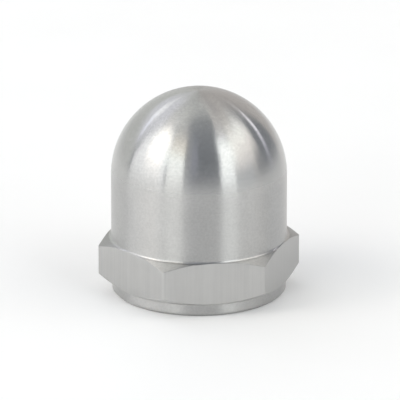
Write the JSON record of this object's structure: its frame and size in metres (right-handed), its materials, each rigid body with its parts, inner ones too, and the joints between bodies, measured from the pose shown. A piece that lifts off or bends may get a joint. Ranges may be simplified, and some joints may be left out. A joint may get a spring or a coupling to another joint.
{
  "type": "domed propeller nut",
  "caption": "Domed aluminium propeller nut: a plain round-nosed barrel above a spanner hexagon and a short round seating collar, with a blind threaded hole underneath.",
  "frame": {"origin": "centre of the flat seating face under the collar, where the nut bears on the propeller washer", "axes": "+Z along the thread's axis from the seating face to the dome's pole; two hexagon corners on +X and -X, flats facing +Y and -Y"},
  "size_m": [0.0252, 0.022, 0.0258],
  "materials": {
    "aluminium": "bare, fine turned and polished with drawn flats"
  },
  "bodies": {
    "root": {"domed_nut": "aluminium"}
  },
  "joints": []
}
